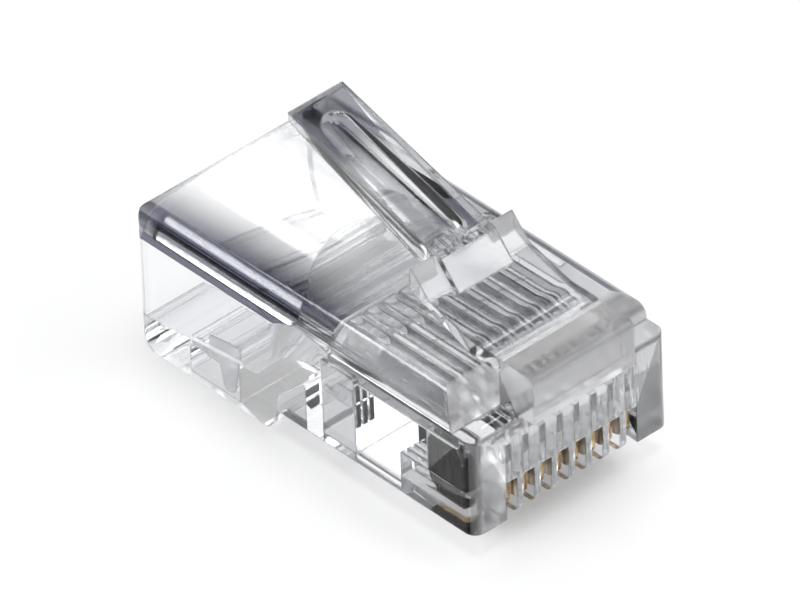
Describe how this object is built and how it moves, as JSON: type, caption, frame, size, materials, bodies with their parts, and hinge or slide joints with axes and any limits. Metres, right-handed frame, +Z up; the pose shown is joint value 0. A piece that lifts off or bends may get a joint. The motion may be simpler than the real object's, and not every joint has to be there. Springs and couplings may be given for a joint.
{
  "type": "rj45 modular plug",
  "caption": "Clear modular plug for twisted-pair network cable, with a sprung latch lever, cable anchors and gold-plated contact blades.",
  "frame": {"origin": "under the middle of the whole plug's box, level with the underside of its rear section", "axes": "+X across the plug, +Y from the contact nose towards the cable end, +Z up through the latch side"},
  "size_m": [0.0116, 0.023, 0.0139],
  "materials": {
    "clear_plastic": "clear polished polycarbonate",
    "gold_contact": "gold-plated stamped copper alloy"
  },
  "bodies": {
    "housing": {"housing": "clear_plastic", "contact_1": "gold_contact", "contact_2": "gold_contact", "contact_3": "gold_contact", "contact_4": "gold_contact", "contact_5": "gold_contact", "contact_6": "gold_contact", "contact_7": "gold_contact", "contact_8": "gold_contact"},
    "latch": {"latch": "clear_plastic"},
    "jacket_anchor": {"jacket_anchor": "clear_plastic"},
    "wire_anchor": {"wire_anchor": "clear_plastic"}
  },
  "joints": [
    {"name": "latch_flex", "type": "hinge", "parent": "housing", "child": "latch", "pos_m": [0, -0.00897, 0.0088], "axis": [-1, 0, 0], "range_deg": [0, 15], "stiffness_Nm_per_rad": 0.1},
    {"name": "jacket_anchor_fold", "type": "hinge", "parent": "housing", "child": "jacket_anchor", "pos_m": [0, 0.00838, 0.0016], "axis": [-1, 0, 0], "range_deg": [0, 30]},
    {"name": "wire_anchor_fold", "type": "hinge", "parent": "housing", "child": "wire_anchor", "pos_m": [0, -0.00042, 0.0039], "axis": [-1, 0, 0], "range_deg": [0, 22]}
  ]
}
